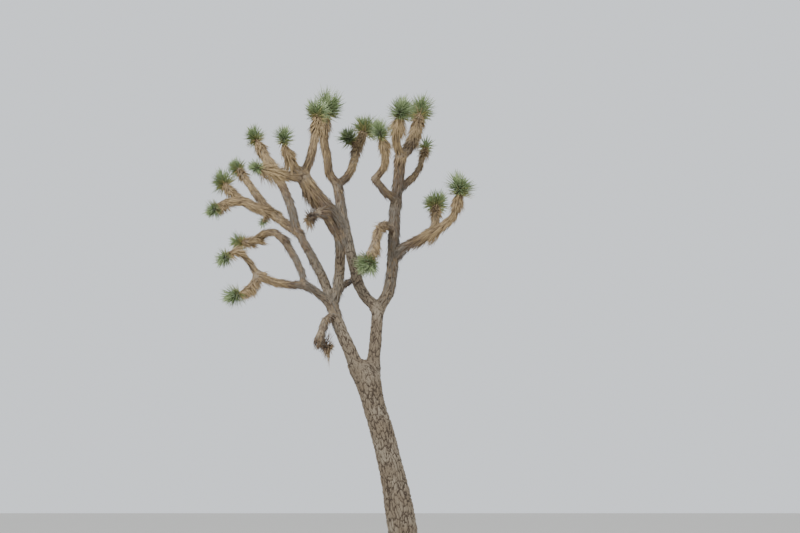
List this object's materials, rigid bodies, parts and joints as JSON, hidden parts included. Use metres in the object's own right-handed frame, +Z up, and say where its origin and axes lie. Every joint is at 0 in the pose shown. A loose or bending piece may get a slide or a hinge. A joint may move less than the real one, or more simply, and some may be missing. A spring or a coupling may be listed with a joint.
{
  "type": "joshua tree",
  "caption": "Whole joshua tree: a leaning trunk that forks into stems and crooked boughs, each ending in a ball of stiff leaves.",
  "frame": {"origin": "middle of the flat cut under the trunk, at ground level", "axes": "+Z up, +X to the right and +Y away, seen from the front, with the trunk leaning towards -X"},
  "size_m": [4.3614, 3.4866, 8.2051],
  "materials": {
    "bark": "grey-brown furrowed bark",
    "young_bark": "fibrous bark under dead leaves",
    "dead_bark": "bleached dead wood",
    "leaves": "stiff waxy dusty green leaves",
    "dead_leaves": "dry straw-brown leaves"
  },
  "bodies": {
    "root": {"trunk": "bark", "stem_left": "bark", "stem_right": "bark", "bough_left_low": "bark", "bough_left_low_outer": "bark", "branch_left_low": "young_bark", "branch_left_lowest": "young_bark", "bough_left_arch": "bark", "branch_left_middle": "young_bark", "bough_left_long": "bark", "bough_upper_left": "bark", "bough_left_back": "bark", "bough_left_spread": "bark", "branch_left_high": "young_bark", "bough_centre": "bark", "branch_dead_middle": "dead_bark", "bough_centre_upper": "bark", "branch_summit_front": "young_bark", "branch_upper_left_front": "young_bark", "branch_left_front": "young_bark", "bough_centre_back": "bark", "branch_summit": "young_bark", "branch_upper_middle": "young_bark", "branch_inner_back": "young_bark", "bough_right": "bark", "branch_inner_drooping": "young_bark", "arm_right": "bark", "arm_right_outer": "bark", "branch_arm_inner": "young_bark", "branch_loop_low": "young_bark", "branch_loop_high": "young_bark", "branch_upper_right_front": "young_bark", "branch_upper_right_back": "young_bark", "branch_right_small": "young_bark", "branch_dead_low": "dead_bark", "head_summit": "leaves", "head_summit_front": "leaves", "head_upper_left": "leaves", "head_upper_left_front": "leaves", "head_upper_middle": "leaves", "head_upper_middle_back": "leaves", "head_loop": "leaves", "head_upper_right_front": "leaves", "head_upper_right_back": "leaves", "head_right_small": "leaves", "head_arm_inner": "leaves", "head_arm_outer": "leaves", "head_left_back": "leaves", "head_left_high": "leaves", "head_left_drooping": "leaves", "head_left_front": "leaves", "head_left_middle": "leaves", "head_left_low": "leaves", "head_left_lowest": "leaves", "head_inner_drooping": "leaves", "head_inner_back": "leaves", "head_left_under": "leaves", "tuft_dead_middle": "dead_leaves", "tuft_dead_low": "dead_leaves"}
  },
  "joints": []
}
